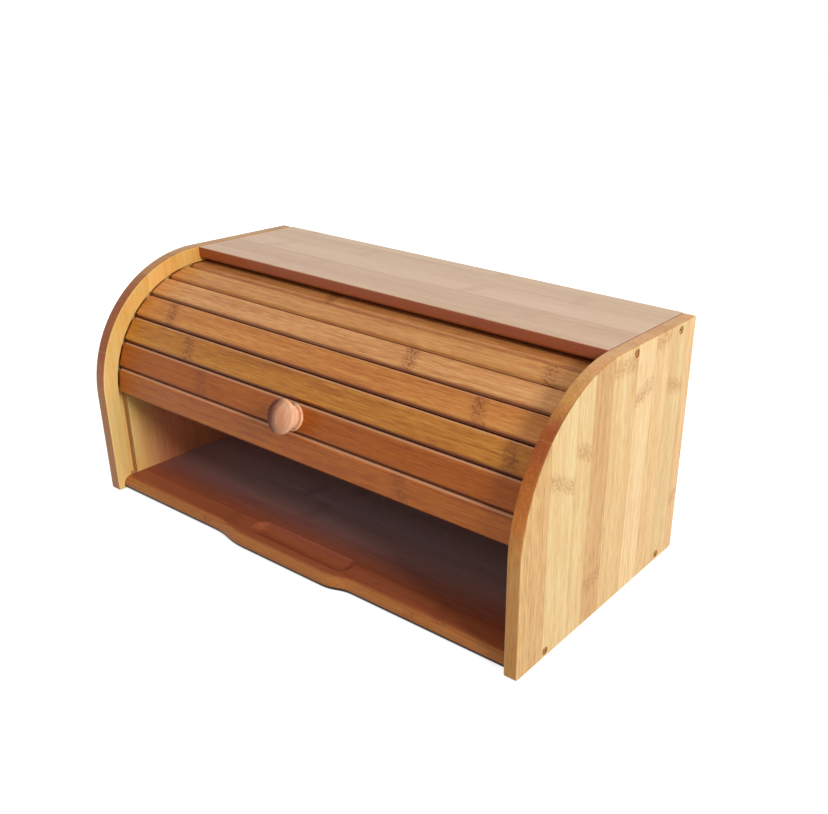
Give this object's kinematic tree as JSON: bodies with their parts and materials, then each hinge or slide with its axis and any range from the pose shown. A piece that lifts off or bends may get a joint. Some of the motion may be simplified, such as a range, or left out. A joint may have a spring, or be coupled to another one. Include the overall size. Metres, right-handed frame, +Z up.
{
  "type": "bread box with roll top",
  "caption": "Bamboo bread box with a roll top of slats on cloth that runs in grooves of the side panels, round the front and back under the flat top. Turned knob, floor with a finger groove.",
  "frame": {"origin": "middle of the underside, at mid width and mid depth", "axes": "+X to the right along the width, +Y to the back, +Z up; the roll top faces -Y"},
  "size_m": [0.4, 0.2, 0.18],
  "materials": {
    "bamboo_side": "clear satin varnish",
    "bamboo_top": "clear satin varnish",
    "bamboo_floor": "clear satin varnish",
    "bamboo_slat": "clear satin varnish",
    "bamboo_back": "clear satin varnish",
    "knob_wood": "clear satin varnish",
    "cloth": "plain weave",
    "screw": "darkened",
    "knob_screw": "plain"
  },
  "bodies": {
    "case": {"left_side_panel": "bamboo_side", "right_side_panel": "bamboo_side", "top_panel": "bamboo_top", "bottom_board": "bamboo_floor", "back_panel": "bamboo_back", "left_screws": "screw", "right_screws": "screw"},
    "roll_slat_01": {"slat_01": "bamboo_slat", "cloth_01": "cloth"},
    "roll_slat_02": {"slat_02": "bamboo_slat", "cloth_02": "cloth", "knob": "knob_wood", "knob_screw": "knob_screw"},
    "roll_slat_03": {"slat_03": "bamboo_slat", "cloth_03": "cloth"},
    "roll_slat_04": {"slat_04": "bamboo_slat", "cloth_04": "cloth"},
    "roll_slat_05": {"slat_05": "bamboo_slat", "cloth_05": "cloth"},
    "roll_slat_06": {"slat_06": "bamboo_slat", "cloth_06": "cloth"},
    "roll_slat_07": {"slat_07": "bamboo_slat", "cloth_07": "cloth"},
    "roll_slat_08": {"slat_08": "bamboo_slat", "cloth_08": "cloth"},
    "roll_slat_09": {"slat_09": "bamboo_slat", "cloth_09": "cloth"},
    "roll_slat_10": {"slat_10": "bamboo_slat", "cloth_10": "cloth"},
    "roll_slat_11": {"slat_11": "bamboo_slat", "cloth_11": "cloth"}
  },
  "joints": [
    {"name": "roll_top", "type": "hinge", "parent": "case", "child": "roll_slat_02", "pos_m": [0, 0.10414, 0.05927], "axis": [1, 0, 0], "range_deg": [0, 20.81]},
    {"name": "slat_01_run", "type": "hinge", "parent": "case", "child": "roll_slat_01", "pos_m": [0, 0.48191, 0.04606], "axis": [1, 0, 0], "range_deg": [0, 6.95]},
    {"name": "slat_03_run", "type": "hinge", "parent": "case", "child": "roll_slat_03", "pos_m": [0, 0.02894, 0.06996], "axis": [1, 0, 0], "range_deg": [0, 34.69]},
    {"name": "slat_04_run", "type": "hinge", "parent": "case", "child": "roll_slat_04", "pos_m": [0, 0.00175, 0.07892], "axis": [1, 0, 0], "range_deg": [0, 46.19]},
    {"name": "slat_05_run", "type": "hinge", "parent": "case", "child": "roll_slat_05", "pos_m": [0, 0, 0.08], "axis": [1, 0, 0], "range_deg": [0, 47.3]},
    {"name": "slat_06_run", "type": "hinge", "parent": "case", "child": "roll_slat_06", "pos_m": [0, 0, 0.08], "axis": [1, 0, 0], "range_deg": [0, 47.3]},
    {"name": "slat_07_run", "type": "hinge", "parent": "case", "child": "roll_slat_07", "pos_m": [0, 0.00168, 0.07711], "axis": [1, 0, 0], "range_deg": [0, 45.52]},
    {"name": "slat_08_run", "type": "hinge", "parent": "case", "child": "roll_slat_08", "pos_m": [0, 0.01114, 0.04618], "axis": [1, 0, 0], "range_deg": [0, 33.24]},
    {"name": "slat_09_run", "type": "hinge", "parent": "case", "child": "roll_slat_09", "pos_m": [0, 0.0219, -0.0383], "axis": [1, 0, 0], "range_deg": [0, 19.37]},
    {"name": "slat_10_run", "type": "hinge", "parent": "case", "child": "roll_slat_10", "pos_m": [0, 0.03604, -0.54428], "axis": [1, 0, 0], "range_deg": [0, 5.55]},
    {"name": "slat_11_run", "type": "slide", "parent": "case", "child": "roll_slat_11", "axis": [0, -1, 0], "range_m": [0, 0.0686]}
  ],
  "couplings": [
    {"joint": "slat_01_run", "follows": "roll_top", "ratio": 0.33333},
    {"joint": "slat_03_run", "follows": "roll_top", "ratio": 1.6667},
    {"joint": "slat_04_run", "follows": "roll_top", "ratio": 2.2191},
    {"joint": "slat_05_run", "follows": "roll_top", "ratio": 2.2722},
    {"joint": "slat_06_run", "follows": "roll_top", "ratio": 2.2722},
    {"joint": "slat_07_run", "follows": "roll_top", "ratio": 2.187},
    {"joint": "slat_08_run", "follows": "roll_top", "ratio": 1.5969},
    {"joint": "slat_09_run", "follows": "roll_top", "ratio": 0.93027},
    {"joint": "slat_10_run", "follows": "roll_top", "ratio": 0.26636},
    {"joint": "slat_11_run", "follows": "roll_top", "m_per_rad": 0.18859}
  ]
}
